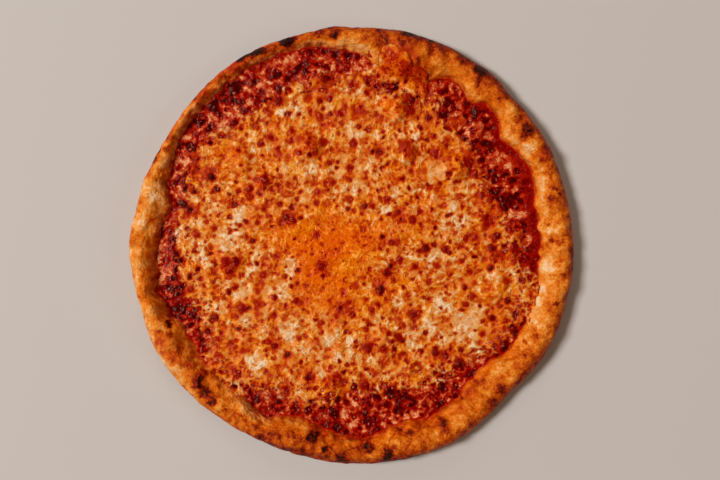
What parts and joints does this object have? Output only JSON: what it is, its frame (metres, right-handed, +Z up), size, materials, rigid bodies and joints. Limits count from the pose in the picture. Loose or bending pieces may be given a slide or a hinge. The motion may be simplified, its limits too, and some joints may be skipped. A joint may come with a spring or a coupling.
{
  "type": "pizza",
  "caption": "Whole uncut cheese pizza with a browned raised crust, a ring of dark tomato sauce and blistered melted cheese.",
  "frame": {"origin": "middle of the flat underside of the crust", "axes": "+Z up through the pizza, +Y towards the top of the pictured view from above, +X to its right"},
  "size_m": [0.361, 0.3553, 0.022],
  "materials": {
    "baked_crust": "golden to dark brown baked wheat dough, dull with an oily inner edge",
    "tomato_sauce": "baked tomato sauce, dark red and wet",
    "melted_cheese": "melted low moisture cheese, cream to oily orange with red brown blisters"
  },
  "bodies": {
    "root": {"crust": "baked_crust", "tomato_sauce": "tomato_sauce", "melted_cheese": "melted_cheese"}
  },
  "joints": []
}
